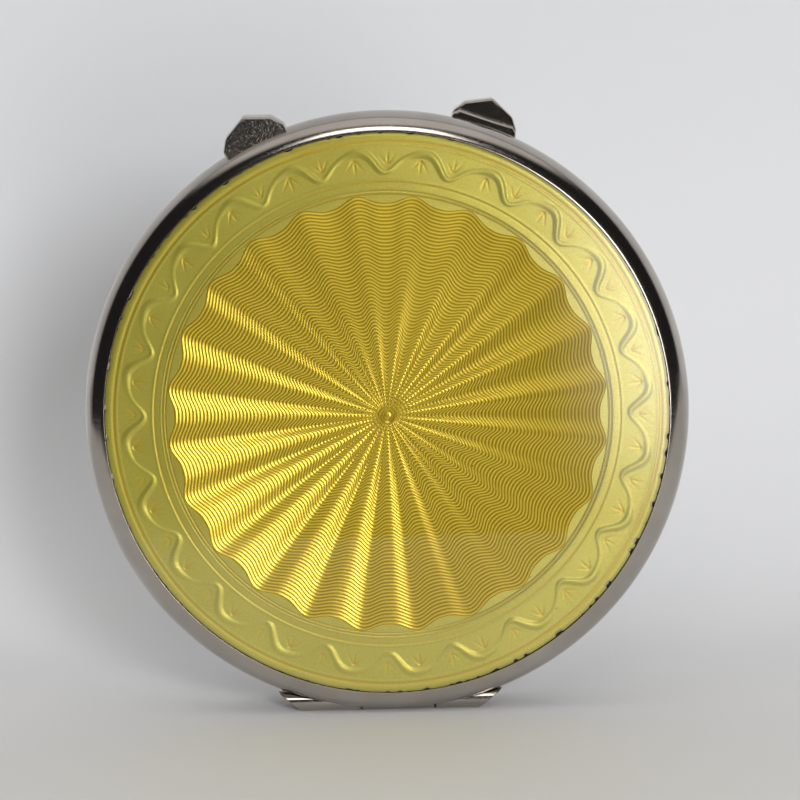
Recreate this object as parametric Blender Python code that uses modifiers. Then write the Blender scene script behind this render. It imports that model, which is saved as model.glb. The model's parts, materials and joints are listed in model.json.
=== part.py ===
"""A round double-opening silver box with an enamelled lid, lying flat on its back, in metres.

The origin is the middle of the flat back and +Z points out of the lid. The thumb pieces are on the -Y
side and both hinges are on the +Y side. From the bottom up it is a tray (base), a ring that carries a
mirror (leaf) and the enamelled lid. The leaf turns on the rear hinge and the lid turns on the front hinge,
which the leaf carries. The empties leaf_pivot and lid_pivot stand on those two axes.
"""

import math

import bmesh
import bpy
from mathutils import Matrix, Vector

MM = 0.001
TURNS = 72  # flats round every turned piece
GAP = 0.1 * MM  # between pieces that touch on the bench

# Walls
WALL_RADIUS = 24.4 * MM  # outside of the tray and the leaf
WALL = 1.0 * MM
INNER_RADIUS = WALL_RADIUS - WALL
BEZEL_RADIUS = INNER_RADIUS - 0.15 * MM  # the upstanding rings that the next piece closes over
BEZEL_WALL = 0.4 * MM
BEZEL_RISE = 0.75 * MM

# Heights of the two parting planes and of the lid
TRAY_TOP = 4.40 * MM
LEAF_BOTTOM = 4.45 * MM
LEAF_TOP = 6.75 * MM
LID_BOTTOM = 6.80 * MM
LID_EDGE = 9.00 * MM
DOME_RISE = 0.55 * MM

# Tray
BACK_RADIUS = 21.8 * MM  # of the flat that it rests on
SHOULDER = 3.0 * MM  # where the curved side becomes upright
FLOOR = 0.85 * MM
FLOOR_RADIUS = 21.0 * MM

# Lid
RIM_RADIUS = 25.0 * MM
RIM_BELLY = 7.0 * MM  # height of the widest place
SEAT_RADIUS = 23.35 * MM
LEDGE_RADIUS = 22.4 * MM
LEDGE_TOP = 8.45 * MM
LEDGE_BOTTOM = 8.0 * MM
PLATE_RADIUS = 23.15 * MM
SHEET = 0.3 * MM  # thickness of the engraved plate and of the discs
ENAMEL = 0.2 * MM

# Mirror
GLASS_RADIUS = 21.8 * MM
GLASS_BOTTOM = 5.8 * MM
GLASS_TOP = 6.7 * MM
GLASS_BEVEL = 0.35 * MM
MIRROR_LIP = 0.6 * MM

# Hinges
HINGE_Y = 24.3 * MM
REAR_AXIS = 4.42 * MM
FRONT_AXIS = 6.77 * MM
BARREL = 0.85 * MM
CHANNEL = 1.0 * MM
PIN = 0.35 * MM
PIN_HOLE = 0.42 * MM
PIN_HALF = 7.5 * MM
HINGE_HALF = 9.2 * MM
CHANNEL_HALF = HINGE_HALF + 0.15 * MM
HINGE_FLAT = 25.08 * MM  # y of the flats that the closed box can stand on
FLAT_HALF = 7.2 * MM  # half the length of that flat, before the slanted ends
CENTRE_FROM = -3.49 * MM  # the middle knuckle stands a little to one side
CENTRE_TO = 2.66 * MM
RIM_FLAT = 24.72 * MM  # y of the flat that clears the lid's rim over the knuckles

# Thumb pieces, as angles from -Y towards +X
LID_THUMB_ANGLE = math.radians(25.0)
BASE_THUMB_ANGLE = math.radians(-19.5)
THUMB_HALF = 2.75 * MM
THUMB_SHOULDER_HALF = 2.08 * MM
THUMB_SHOULDER = 0.97 * MM  # rise of the outline's shoulders above its foot
THUMB_RISE = 1.95 * MM  # and of its point
THUMB_EDGE = 0.15 * MM
LID_THUMB_FOOT = 24.85 * MM
BASE_THUMB_FOOT = 25.05 * MM
LID_THUMB_DEPTH = 1.2 * MM
BASE_THUMB_DEPTH = 1.9 * MM
LEDGE_DEPTH = 1.7 * MM  # behind the lid's thumb piece
LEDGE_BAR_DEPTH = 1.2 * MM  # the low bar in front of the tray's thumb piece
LEDGE_BAR_RADIUS = 25.87 * MM
LEDGE_BAR_HALF = 2.85 * MM
LEDGE_BAR_SLOPE = 0.55 * MM
THUMB_ROOT = WALL_RADIUS - WALL / 2  # drawn this far in, then cut to fit

SILVER = ("silver", (0.72, 0.71, 0.69), 1.0, 0.16)
GILT = ("gilt", (0.83, 0.62, 0.29), 1.0, 0.22)
ENAMEL_YELLOW = ("yellow_enamel", (0.78, 0.68, 0.16), 0.0, 0.12)
MIRROR = ("mirror", (0.86, 0.88, 0.88), 1.0, 0.03)
CARD = ("card", (0.16, 0.13, 0.11), 0.0, 0.9)
STEEL = ("steel", (0.55, 0.55, 0.55), 1.0, 0.3)


def clear_scene():
    for obj in list(bpy.data.objects):
        bpy.data.objects.remove(obj, do_unlink=True)


def new_collection(name):
    collection = bpy.data.collections.new(name)
    bpy.context.scene.collection.children.link(collection)
    return collection


def material(piece, finish):
    _, colour, metallic, roughness = finish
    made = bpy.data.materials.new(piece + "_" + finish[0])
    made.use_nodes = True
    shader = made.node_tree.nodes["Principled BSDF"]
    shader.inputs["Base Color"].default_value = (*colour, 1.0)
    shader.inputs["Metallic"].default_value = metallic
    shader.inputs["Roughness"].default_value = roughness
    return made


def pivot(name, place, parent=None):
    empty = bpy.data.objects.new(name, None)
    empty.empty_display_size = 5 * MM
    PIECES.objects.link(empty)
    empty.parent = parent
    empty.location = place - (AXES[parent.name] if parent else Vector())
    return empty


def place_piece(mesh, name, finish, body):
    """Puts a mesh that is drawn round the box's own origin under the empty of its body."""
    obj = bpy.data.objects.new(name, mesh)
    PIECES.objects.link(obj)
    if body:
        obj.parent = body
        obj.location = -AXES[body.name]
    obj.data.materials.append(material(name, finish))
    return obj


def place_cutter(mesh, name):
    obj = bpy.data.objects.new(name, mesh)
    CUTTERS.objects.link(obj)
    obj.hide_render = True
    obj.display_type = "WIRE"
    return obj


def cut(obj, cutter):
    modifier = obj.modifiers.new("cut_" + cutter.name, "BOOLEAN")
    modifier.operation = "DIFFERENCE"
    modifier.solver = "EXACT"
    modifier.object = cutter


def arc(centre, radii, start, end, steps):
    """Points of an elliptical arc in the profile's plane, from one angle to the other, both included."""
    angles = [start + (end - start) * i / steps for i in range(steps + 1)]
    return [(centre[0] + radii[0] * math.cos(a), centre[1] + radii[1] * math.sin(a)) for a in angles]


def dome(radius, edge_height, rise, steps):
    """Points of a shallow dome from the axis outwards."""
    spans = [radius * i / steps for i in range(steps + 1)]
    return [(r, edge_height + rise * (1 - (r / radius) ** 2)) for r in spans]


def spin(obj):
    screw = obj.modifiers.new("turn", "SCREW")
    screw.axis = "Z"
    screw.angle = math.tau
    screw.steps = TURNS
    screw.render_steps = TURNS
    screw.use_merge_vertices = True
    screw.merge_threshold = 0.01 * MM
    screw.use_smooth_shade = False
    return obj


def profile_mesh(name, points, is_ring):
    mesh = bpy.data.meshes.new(name)
    edges = [(i, i + 1) for i in range(len(points) - 1)]
    if is_ring:
        edges.append((len(points) - 1, 0))
    mesh.from_pydata([(r, 0, z) for r, z in points], edges, [])
    return mesh


def turned(name, points, finish, body, is_ring=False):
    """A turned piece. Its profile runs down from the top of the outer side, and a ring's then runs back."""
    return spin(place_piece(profile_mesh(name, points, is_ring), name, finish, body))


def turned_cutter(name, points):
    return spin(place_cutter(profile_mesh(name, points, False), name))


def disc(name, radius, bottom, top, finish, body):
    return turned(name, [(0, top), (radius, top), (radius, bottom), (0, bottom)], finish, body)


def bar_mesh(name, radius, start, end, centre, flats):
    """A round bar along X."""
    mesh = bpy.data.meshes.new(name)
    shape = bmesh.new()
    bmesh.ops.create_cone(
        shape, cap_ends=True, segments=flats, radius1=radius, radius2=radius, depth=end - start
    )
    middle = centre + Vector(((start + end) / 2, 0, 0))
    along_x = Matrix.Rotation(math.pi / 2, 4, "Y")
    bmesh.ops.transform(shape, matrix=Matrix.Translation(middle) @ along_x, verts=shape.verts)
    shape.to_mesh(mesh)
    shape.free()
    return mesh


def box_mesh(name, low, high):
    mesh = bpy.data.meshes.new(name)
    shape = bmesh.new()
    bmesh.ops.create_cube(shape, size=1.0)
    size = high - low
    place = Matrix.Translation((low + high) / 2) @ Matrix.Diagonal((*size, 1.0))
    bmesh.ops.transform(shape, matrix=place, verts=shape.verts)
    shape.to_mesh(mesh)
    shape.free()
    return mesh


def knuckle(name, axis_height, start, end, body, slanted=0):
    """One tube of a hinge. slanted is +1 or -1 where the outer end at +X or -X is cut on the slant."""
    centre = Vector((0, HINGE_Y, axis_height))
    mesh = bar_mesh(name, BARREL, start, end, centre, 24)
    slope = (HINGE_HALF - FLAT_HALF) / (HINGE_FLAT - (HINGE_Y - BARREL))
    for vertex in mesh.vertices:
        vertex.co.y = min(vertex.co.y, HINGE_FLAT)
        if slanted and vertex.co.x * slanted > HINGE_HALF - GAP:
            vertex.co.x = slanted * (FLAT_HALF + (HINGE_FLAT - vertex.co.y) * slope)
    cut(place_piece(mesh, name, SILVER, body), PIN_CUTTERS[axis_height])


def thumb_piece(name, outline, bottom, top, angle, body, relief):
    """A bevelled plate of a (tangential, radial) outline, fitted to the wall that carries it."""
    mesh = plate_mesh(name, outline, bottom, top, angle)
    cut(place_piece(mesh, name, SILVER, body), relief)


def plate_mesh(name, outline, bottom, top, angle):
    """The outline extruded between two heights, with bevelled edges, and turned to its place on the rim."""
    curve = bpy.data.curves.new(name, "CURVE")
    curve.dimensions = "2D"
    curve.fill_mode = "BOTH"
    curve.extrude = (top - bottom) / 2
    spline = curve.splines.new("POLY")
    spline.points.add(len(outline) - 1)
    for point, (u, v) in zip(spline.points, outline):
        point.co = (u, v, 0, 1)
    spline.use_cyclic_u = True
    drawn = bpy.data.objects.new(name, curve)
    PIECES.objects.link(drawn)
    bpy.context.view_layer.update()
    mesh = bpy.data.meshes.new_from_object(drawn.evaluated_get(bpy.context.evaluated_depsgraph_get()))
    bpy.data.objects.remove(drawn)
    shape = bmesh.new()
    shape.from_mesh(mesh)
    bmesh.ops.remove_doubles(shape, verts=shape.verts, dist=0.001 * MM)
    bmesh.ops.dissolve_limit(shape, angle_limit=math.radians(1), verts=shape.verts, edges=shape.edges)
    bmesh.ops.bevel(shape, geom=shape.edges[:], offset=THUMB_EDGE, segments=1, affect="EDGES", profile=0.5)
    turn = Matrix.Rotation(math.pi + angle, 4, "Z")
    bmesh.ops.transform(
        shape, matrix=turn @ Matrix.Translation((0, 0, (top + bottom) / 2)), verts=shape.verts
    )
    shape.to_mesh(mesh)
    shape.free()
    return mesh


def pediment(root, foot):
    """Outline of a thumb piece with its visible foot at radius foot and its hidden root at radius root."""
    side = [(THUMB_HALF, root), (THUMB_HALF, foot), (THUMB_SHOULDER_HALF, foot + THUMB_SHOULDER)]
    return side + [(0, foot + THUMB_RISE)] + [(-u, v) for u, v in reversed(side)]


def bar_outline(root):
    side = [(LEDGE_BAR_HALF, root), (LEDGE_BAR_HALF - LEDGE_BAR_SLOPE, LEDGE_BAR_RADIUS)]
    return side + [(-u, v) for u, v in reversed(side)]


def bezel(name, bottom, top, body):
    inner = BEZEL_RADIUS - BEZEL_WALL
    lead = 0.12 * MM
    points = [(BEZEL_RADIUS - lead, top), (BEZEL_RADIUS, top - 2 * lead), (BEZEL_RADIUS, bottom)]
    return turned(name, points + [(inner, bottom), (inner, top)], GILT, body, is_ring=True)


def make_base():
    outer_radii = WALL_RADIUS - BACK_RADIUS, SHOULDER
    inner_radii = INNER_RADIUS - FLOOR_RADIUS, SHOULDER - FLOOR
    outside = arc((BACK_RADIUS, SHOULDER), outer_radii, 0, -math.pi / 2, 7)
    inside = arc((FLOOR_RADIUS, SHOULDER), inner_radii, -math.pi / 2, 0, 5)
    lip = [(INNER_RADIUS, TRAY_TOP), (WALL_RADIUS, TRAY_TOP)]
    shell = turned("base_shell", [(0, FLOOR)] + inside + lip + outside + [(0, 0)], SILVER, None)
    cut(shell, CHANNELS[REAR_AXIS])
    bezel("base_bezel", SHOULDER, TRAY_TOP + BEZEL_RISE, None)
    top = LEAF_TOP - LEDGE_BAR_DEPTH - 1.5 * GAP
    thumb_piece("base_thumb_piece", pediment(THUMB_ROOT, BASE_THUMB_FOOT), top - BASE_THUMB_DEPTH, top,
                BASE_THUMB_ANGLE, None, WALL_RELIEF)
    hinge_ends("base", REAR_AXIS, None)
    pin("hinge_pin_rear", REAR_AXIS, None)


def make_leaf(body):
    edge = 0.12 * MM
    top_edge = [(WALL_RADIUS - edge, LEAF_TOP), (WALL_RADIUS, LEAF_TOP - edge)]
    bottom_edge = [(WALL_RADIUS, LEAF_BOTTOM + edge), (WALL_RADIUS - edge, LEAF_BOTTOM)]
    outer = top_edge + bottom_edge
    inner = [(INNER_RADIUS, LEAF_BOTTOM), (INNER_RADIUS, LEAF_TOP)]
    ring = turned("leaf_ring", outer + inner, SILVER, body, is_ring=True)
    cut(ring, CHANNELS[REAR_AXIS])
    cut(ring, CHANNELS[FRONT_AXIS])
    plate_bottom = TRAY_TOP + BEZEL_RISE + GAP
    plate_top = plate_bottom + SHEET
    disc("leaf_plate", INNER_RADIUS - GAP, plate_bottom, plate_top, GILT, body)
    bezel("leaf_bezel", plate_top + 0.5 * GAP, LEAF_TOP + BEZEL_RISE, body)
    room = BEZEL_RADIUS - BEZEL_WALL - GAP
    disc("mirror_backing", room, plate_top + 0.7 * GAP, GLASS_BOTTOM - 0.6 * GAP, CARD, body)
    glass = [
        (0, GLASS_TOP), (GLASS_RADIUS - 3 * GLASS_BEVEL, GLASS_TOP),
        (GLASS_RADIUS, GLASS_TOP - GLASS_BEVEL), (GLASS_RADIUS, GLASS_BOTTOM), (0, GLASS_BOTTOM),
    ]
    turned("mirror_glass", glass, MIRROR, body)
    lip_top = GLASS_TOP + 0.25 * MM
    lip_bottom = GLASS_TOP + 0.8 * GAP
    inside = GLASS_RADIUS + 0.8 * GAP
    frame = [(room, lip_top - GAP), (room, GLASS_BOTTOM), (inside, GLASS_BOTTOM), (inside, lip_bottom)]
    lip = [(GLASS_RADIUS - MIRROR_LIP, lip_bottom), (room - GAP, lip_top)]
    turned("mirror_ring", frame + lip, GILT, body, is_ring=True)
    centre_from = CENTRE_FROM + 0.5 * GAP
    centre_to = CENTRE_TO - 0.5 * GAP
    knuckle("leaf_knuckle_front", FRONT_AXIS, centre_from, centre_to, body)
    knuckle("leaf_knuckle_rear", REAR_AXIS, centre_from, centre_to, body)
    top = LEAF_TOP - 0.5 * GAP
    thumb_piece("leaf_ledge_left", bar_outline(THUMB_ROOT), top - LEDGE_BAR_DEPTH, top,
                BASE_THUMB_ANGLE, body, WALL_RELIEF)
    thumb_piece("leaf_ledge_right", pediment(THUMB_ROOT, LID_THUMB_FOOT), top - LEDGE_DEPTH, top,
                LID_THUMB_ANGLE, body, WALL_RELIEF)
    pin("hinge_pin_front", FRONT_AXIS, body)


def make_lid(body):
    belly = arc(
        (SEAT_RADIUS, RIM_BELLY), (RIM_RADIUS - SEAT_RADIUS, LID_EDGE - RIM_BELLY), math.pi / 2, 0, 8
    )
    under = [(RIM_RADIUS, LID_BOTTOM), (INNER_RADIUS, LID_BOTTOM), (INNER_RADIUS, LEDGE_BOTTOM)]
    ledge = [(LEDGE_RADIUS, LEDGE_BOTTOM), (LEDGE_RADIUS, LEDGE_TOP), (SEAT_RADIUS, LEDGE_TOP)]
    rim = turned("lid_rim", belly + under + ledge, SILVER, body, is_ring=True)
    cut(rim, CHANNELS[FRONT_AXIS])
    cut(rim, RIM_FLATTENER)
    plate_bottom = LEDGE_TOP + 0.5 * GAP
    under_plate = dome(PLATE_RADIUS, plate_bottom, DOME_RISE, 4)
    over_plate = dome(PLATE_RADIUS, plate_bottom + SHEET, DOME_RISE, 4)
    turned("guilloche_plate", over_plate + under_plate[::-1], SILVER, body)
    enamel_top = dome(PLATE_RADIUS, LID_EDGE + 0.5 * GAP, DOME_RISE, 5)
    enamel_under = dome(PLATE_RADIUS, LID_EDGE + 0.5 * GAP - ENAMEL, DOME_RISE, 5)
    turned("lid_enamel", enamel_top + enamel_under[::-1], ENAMEL_YELLOW, body)
    lining_top = LEDGE_BOTTOM - GAP
    disc("lid_lining", INNER_RADIUS - GAP, lining_top - 0.25 * MM, lining_top, GILT, body)
    bottom = LID_BOTTOM + 0.5 * GAP
    thumb_piece("lid_thumb_piece", pediment(THUMB_ROOT, LID_THUMB_FOOT), bottom, bottom + LID_THUMB_DEPTH,
                LID_THUMB_ANGLE, body, RIM_RELIEF)
    hinge_ends("lid", FRONT_AXIS, body)


def hinge_ends(leaf_name, axis_height, body):
    """The two outer tubes of one hinge, with their slanted ends."""
    left_end = CENTRE_FROM - 0.5 * GAP
    right_end = CENTRE_TO + 0.5 * GAP
    knuckle(leaf_name + "_knuckle_left", axis_height, -HINGE_HALF, left_end, body, slanted=-1)
    knuckle(leaf_name + "_knuckle_right", axis_height, right_end, HINGE_HALF, body, slanted=1)


def pin(name, axis_height, body):
    mesh = bar_mesh(name, PIN, -PIN_HALF, PIN_HALF, Vector((0, HINGE_Y, axis_height)), 12)
    place_piece(mesh, name, STEEL, body)


def hinge_cutter(name, radius, half, axis_height, flats):
    return place_cutter(bar_mesh(name, radius, -half, half, Vector((0, HINGE_Y, axis_height)), flats), name)


def rim_relief():
    """The lid rim's outside, swollen by a gap, which the lid's thumb piece is fitted to."""
    swell = 0.6 * GAP
    radii = RIM_RADIUS - SEAT_RADIUS + swell, LID_EDGE - RIM_BELLY + swell
    side = arc((SEAT_RADIUS, RIM_BELLY), radii, math.pi / 2, 0, 8)
    foot = LID_BOTTOM - 1 * MM
    return turned_cutter(
        "rim_relief", [(0, LID_EDGE + swell)] + side + [(RIM_RADIUS + swell, foot), (0, foot)]
    )


def wall_relief():
    radius = WALL_RADIUS + GAP
    return turned_cutter("wall_relief", [(0, LEAF_TOP), (radius, LEAF_TOP), (radius, 0), (0, 0)])


def rim_flattener():
    """A block that planes the lid's rim flat above the knuckles."""
    low = Vector((-HINGE_HALF, RIM_FLAT, LID_BOTTOM - 1 * MM))
    high = Vector((HINGE_HALF, RIM_FLAT + WALL, LID_EDGE + 1 * MM))
    return place_cutter(box_mesh("rim_flattener", low, high), "rim_flattener")


def smooth_round_pieces():
    for obj in PIECES.objects:
        if obj.type == "MESH":
            obj.data.shade_smooth()
            obj.data.set_sharp_from_angle(angle=math.radians(30))


clear_scene()
PIECES = new_collection("pill_box")
CUTTERS = new_collection("cutters")
AXES = {
    "leaf_pivot": Vector((0, HINGE_Y, REAR_AXIS)),
    "lid_pivot": Vector((0, HINGE_Y, FRONT_AXIS)),
}
CHANNELS = {
    height: hinge_cutter(name, CHANNEL, CHANNEL_HALF, height, 24)
    for name, height in (("rear_channel", REAR_AXIS), ("front_channel", FRONT_AXIS))
}
PIN_CUTTERS = {
    height: hinge_cutter(name, PIN_HOLE, PIN_HALF + GAP, height, 12)
    for name, height in (("rear_pin_hole", REAR_AXIS), ("front_pin_hole", FRONT_AXIS))
}
WALL_RELIEF = wall_relief()
RIM_RELIEF = rim_relief()
RIM_FLATTENER = rim_flattener()

LEAF = pivot("leaf_pivot", AXES["leaf_pivot"])
LID = pivot("lid_pivot", AXES["lid_pivot"], LEAF)
make_base()
make_leaf(LEAF)
make_lid(LID)
smooth_round_pieces()
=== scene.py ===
"""A round silver box with a yellow guilloche enamel lid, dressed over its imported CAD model, in metres.

The box lies on its back in the model's frame, so the picture's "down" is +Y: the box is seen standing on its
hinge, on a floor that faces -Y, with a wall far behind it that faces +Z. The picture's right is -X.
"""

import json
import math

import bmesh
import bpy
import numpy as np
from mathutils import Matrix, Vector


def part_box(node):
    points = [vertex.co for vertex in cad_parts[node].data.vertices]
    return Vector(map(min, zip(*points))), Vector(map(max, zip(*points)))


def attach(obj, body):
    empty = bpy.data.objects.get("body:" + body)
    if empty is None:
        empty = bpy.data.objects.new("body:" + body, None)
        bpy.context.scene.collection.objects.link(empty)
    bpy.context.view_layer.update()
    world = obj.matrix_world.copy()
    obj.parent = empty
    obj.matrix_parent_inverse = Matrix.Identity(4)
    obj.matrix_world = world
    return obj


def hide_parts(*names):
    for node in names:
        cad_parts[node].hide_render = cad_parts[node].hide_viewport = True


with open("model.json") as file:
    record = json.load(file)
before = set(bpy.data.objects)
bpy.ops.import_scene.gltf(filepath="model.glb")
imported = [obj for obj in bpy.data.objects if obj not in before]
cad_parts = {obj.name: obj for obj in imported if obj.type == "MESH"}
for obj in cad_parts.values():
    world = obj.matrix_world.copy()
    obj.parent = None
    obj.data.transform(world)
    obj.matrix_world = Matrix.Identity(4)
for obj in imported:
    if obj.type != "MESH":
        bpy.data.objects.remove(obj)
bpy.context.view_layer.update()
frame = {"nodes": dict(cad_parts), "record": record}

MM = 0.001
SEGMENTS = 288  # round every turned piece
FILLET_STEPS = 4
FILLET_LEAST_TURN = math.radians(25)
ON_AXIS = 1e-7

# Camera
VIEW_ELEVATION = math.radians(7.7)  # above the floor that the box stands on
VIEW_ROLL = math.radians(1.2)
VIEW_DISTANCE = 420 * MM
VIEW_TARGET = Vector((-1.08, -1.05, 8.0)) * MM
LENS = 228.7

# Enamel
ENAMEL_LOW, ENAMEL_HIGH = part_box("lid_enamel")
ENAMEL_RADIUS = ENAMEL_HIGH.x
RIM_LOW, RIM_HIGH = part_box("lid_rim")
DOME_EDGE = RIM_HIGH.z + 0.05 * MM
DOME_TOP = ENAMEL_HIGH.z
DOME_RISE = DOME_TOP - DOME_EDGE
ENAMEL_THICKNESS = 0.2 * MM
GROOVE_SHARP, BORDER_SHARP = 14.0, 40.0  # degrees from which an edge is shaded sharp
REPEATS = 24  # of the scallops and of the vine, round the lid
DEPTH = "glass_depth_and_painted_shade"  # how deep the glass lies over a point of the relief, from 0 to 1; on the grooved field it also carries painted shade in the valleys and a painted highlight on the crests

# Sunburst, as shares of the enamel's radius. Angles run from the thumb-piece side, clockwise from above.
SCALLOP_TROUGH = 0.757
SCALLOP_RISE = 0.029
SCALLOP_SHARPNESS = 1.4
SCALLOP_ANGLE = math.radians(6.9) + VIEW_ROLL
PITCH = 0.0128
GROOVES = 60
GROOVE_SLOPE = math.tan(math.radians(12.0))
COLUMNS = REPEATS * 20
ROSETTE = 0.034
FIELD_EDGE = 0.7865
FIELD_SINK = 0.02 * MM  # of the sunburst below the CAD's dome
LUNETTE_ROWS = (1.0, 0.6, 0.25, 0.06)  # how far out each row lies from the scallops to the field's edge
ROSETTE_RINGS = (
    # share of the rosette's radius, height: three low rings and a dot
    (0.98, 0.0), (0.86, 0.0022), (0.74, 0.0), (0.62, -0.0012), (0.52, 0.0008), (0.40, -0.0012),
    (0.24, -0.0006), (0.12, 0.0012), (0.01, 0.0014),
)
ROSETTE_DEPTH = 0.6


def link(name, mesh, material):
    obj = bpy.data.objects.new(name, mesh)
    bpy.context.scene.collection.objects.link(obj)
    mesh.materials.clear()
    mesh.materials.append(material)
    return obj


def finish_piece(obj, body, slot, *nodes):
    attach(obj, body)
    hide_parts(*nodes)
    return obj


def smooth(mesh, angle=30.0):
    mesh.shade_smooth()
    mesh.set_sharp_from_angle(angle=math.radians(angle))


# ---------------------------------------------------------------- turned pieces


def rounded(points, radius, closed):
    """The profile with each of its corners turned into a short arc."""
    count = len(points)
    made = []
    for i, point in enumerate(points):
        here = Vector(point)
        if not closed and i in (0, count - 1):
            made.append(tuple(here))
            continue
        before = Vector(points[i - 1]) - here
        after = Vector(points[(i + 1) % count]) - here
        turn = before.angle(-after)
        if turn < FILLET_LEAST_TURN:
            made.append(tuple(here))
            continue
        reach = min(radius * math.tan(turn / 2), 0.45 * before.length, 0.45 * after.length)
        start = here + before.normalized() * reach
        end = here + after.normalized() * reach
        for step in range(FILLET_STEPS + 1):
            t = step / FILLET_STEPS
            made.append(tuple((1 - t) ** 2 * start + 2 * t * (1 - t) * here + t * t * end))
    return made


def lathe(name, profile, closed):
    """Mesh of a profile of (radius, height) points turned round the box's axis."""
    shape = bmesh.new()
    rings = []
    for radius, height in profile:
        if radius < ON_AXIS:
            rings.append([shape.verts.new((0, 0, height))])
            continue
        ring = []
        for i in range(SEGMENTS):
            a = math.tau * i / SEGMENTS
            ring.append(shape.verts.new((radius * math.cos(a), radius * math.sin(a), height)))
        rings.append(ring)
    pairs = list(zip(rings, rings[1:]))
    if closed:
        pairs.append((rings[-1], rings[0]))
    for one, other in pairs:
        for i in range(SEGMENTS):
            j = (i + 1) % SEGMENTS
            if len(one) == 1 and len(other) > 1:
                shape.faces.new((one[0], other[i], other[j]))
            elif len(other) == 1 and len(one) > 1:
                shape.faces.new((one[i], other[0], one[j]))
            elif len(one) > 1:
                shape.faces.new((one[i], other[i], other[j], one[j]))
    bmesh.ops.recalc_face_normals(shape, faces=shape.faces)
    mesh = bpy.data.meshes.new(name)
    shape.to_mesh(mesh)
    shape.free()
    smooth(mesh)
    return mesh


# ---------------------------------------------------------------- enamel


def dome_height(r):
    return DOME_EDGE + DOME_RISE * (1 - (r / ENAMEL_RADIUS) ** 2)


def polar_body(name, radii, heights, angles, depth):
    """A closed thin body from a grid of radii and heights, one row to a ring and one column to an angle."""
    rings, columns = radii.shape
    x = -radii * np.sin(angles)
    y = -radii * np.cos(angles)
    top = np.stack([x, y, heights], axis=-1).reshape(-1, 3)
    low_rows = [0, rings - 1]
    low_heights = dome_height(radii[low_rows]) - ENAMEL_THICKNESS
    low = np.stack([x[low_rows], y[low_rows], low_heights], axis=-1).reshape(-1, 3)
    column = np.arange(columns)
    following = (column + 1) % columns
    row = np.arange(rings - 1)[:, None] * columns
    quads = [np.stack([row + column, row + following, row + columns + following, row + columns + column], -1)]
    first_low = rings * columns
    second_low = first_low + columns
    last = (rings - 1) * columns
    quads.append(np.stack([last + column, last + following, second_low + following, second_low + column], -1))
    quads.append(np.stack([first_low + column, first_low + following, following, column], -1))
    quads.append(
        np.stack([second_low + column, second_low + following, first_low + following, first_low + column], -1)
    )
    faces = np.concatenate([q.reshape(-1, 4) for q in quads])
    mesh = bpy.data.meshes.new(name)
    mesh.from_pydata(np.concatenate([top, low]).tolist(), [], faces.tolist())
    marks = mesh.attributes.new(DEPTH, "FLOAT", "POINT")
    marks.data.foreach_set("value", np.concatenate([depth.ravel(), np.zeros(2 * columns)]).astype(np.float32))
    shape = bmesh.new()
    shape.from_mesh(mesh)
    bmesh.ops.remove_doubles(shape, verts=shape.verts, dist=0.0004 * MM)
    bmesh.ops.recalc_face_normals(shape, faces=shape.faces)
    shape.to_mesh(mesh)
    shape.free()
    return mesh


def scallop(angles):
    """Outline of the grooved field."""
    phase = REPEATS * (angles - SCALLOP_ANGLE)
    return SCALLOP_TROUGH + SCALLOP_RISE * ((1 + np.cos(phase)) / 2) ** SCALLOP_SHARPNESS


def sunburst_mesh(name):
    angles = math.tau * np.arange(COLUMNS) / COLUMNS
    step = angles[1] - angles[0]
    outline = scallop(angles)
    slope = (np.roll(outline, -1) - np.roll(outline, 1)) / (2 * step)
    rows = []
    heights = []
    glass_depths_and_shade = []
    for outward in LUNETTE_ROWS:
        rho = outline + (FIELD_EDGE - outline) * outward
        rows.append(rho)
        heights.append(np.zeros(COLUMNS))
        glass_depths_and_shade.append(np.zeros(COLUMNS))
    for half in range(2 * GROOVES):
        rho = np.maximum(outline - half * PITCH / 2, ROSETTE)
        spacing = PITCH / 2 / np.sqrt(1 + (slope / rho) ** 2)
        valley = 1.0 if half % 2 == 0 else 0.0
        is_free = rho > ROSETTE + 1e-6
        rows.append(rho)
        heights.append(-spacing * GROOVE_SLOPE * is_free * valley)
        # Valleys take the deep glass colour plus painted shade, and crests take the thin glass colour plus a
        # painted highlight.
        glass_depths_and_shade.append(np.full(COLUMNS, valley))
    for share, height in ROSETTE_RINGS:
        rows.append(np.full(COLUMNS, ROSETTE * share))
        heights.append(np.full(COLUMNS, height))
        glass_depths_and_shade.append(np.full(COLUMNS, ROSETTE_DEPTH))
    radii = np.array(rows) * ENAMEL_RADIUS
    relief = np.array(heights) * ENAMEL_RADIUS
    surface = dome_height(radii) + relief - FIELD_SINK
    return polar_body(name, radii, surface, angles, np.array(glass_depths_and_shade))


def bump(x, centre, half_width):
    """A smooth hump of height 1."""
    t = np.clip(np.abs(x - centre) / half_width, 0, 1)
    return (1 - t * t) ** 2


# Border, as shares of the enamel's radius
BORDER_SINK = 0.05 * MM
VINE_CENTRE = 0.902
VINE_SWING = 0.036
VINE_LEAN = 0.45  # bends the waves over to one side
VINE_LEAN_PHASE = 0.6
VINE_HEIGHT = 0.0026
VINE_WIDTH = 0.0128
VINE_SWELL = 0.0044
VINE_ANGLE = math.radians(7.5) + VIEW_ROLL
BORDER_COLUMNS = REPEATS * 60
BORDER_FINE = np.linspace(0.846, 0.958, 40)
BORDER_RINGS = [
    FIELD_EDGE, 0.7890, 0.7918, 0.7945, 0.7975, 0.8005, 0.8035, 0.8065, 0.809, 0.8125, 0.822, 0.827, 0.830,
    0.834, 0.838, 0.842, *BORDER_FINE, 0.962, 0.967, 0.971, 0.975, 0.980, 0.988, 0.995, 1.0, 1.0045, 1.0062,
]
SPRIG_FULL_DEPTH = 0.0009  # at which a cut has the full colour of thick glass
EDGE_START = 0.995  # where the glass begins to round off, outside the rings of the border
EDGE_WIDTH = 0.011
EDGE_DROP = 0.0045
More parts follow.
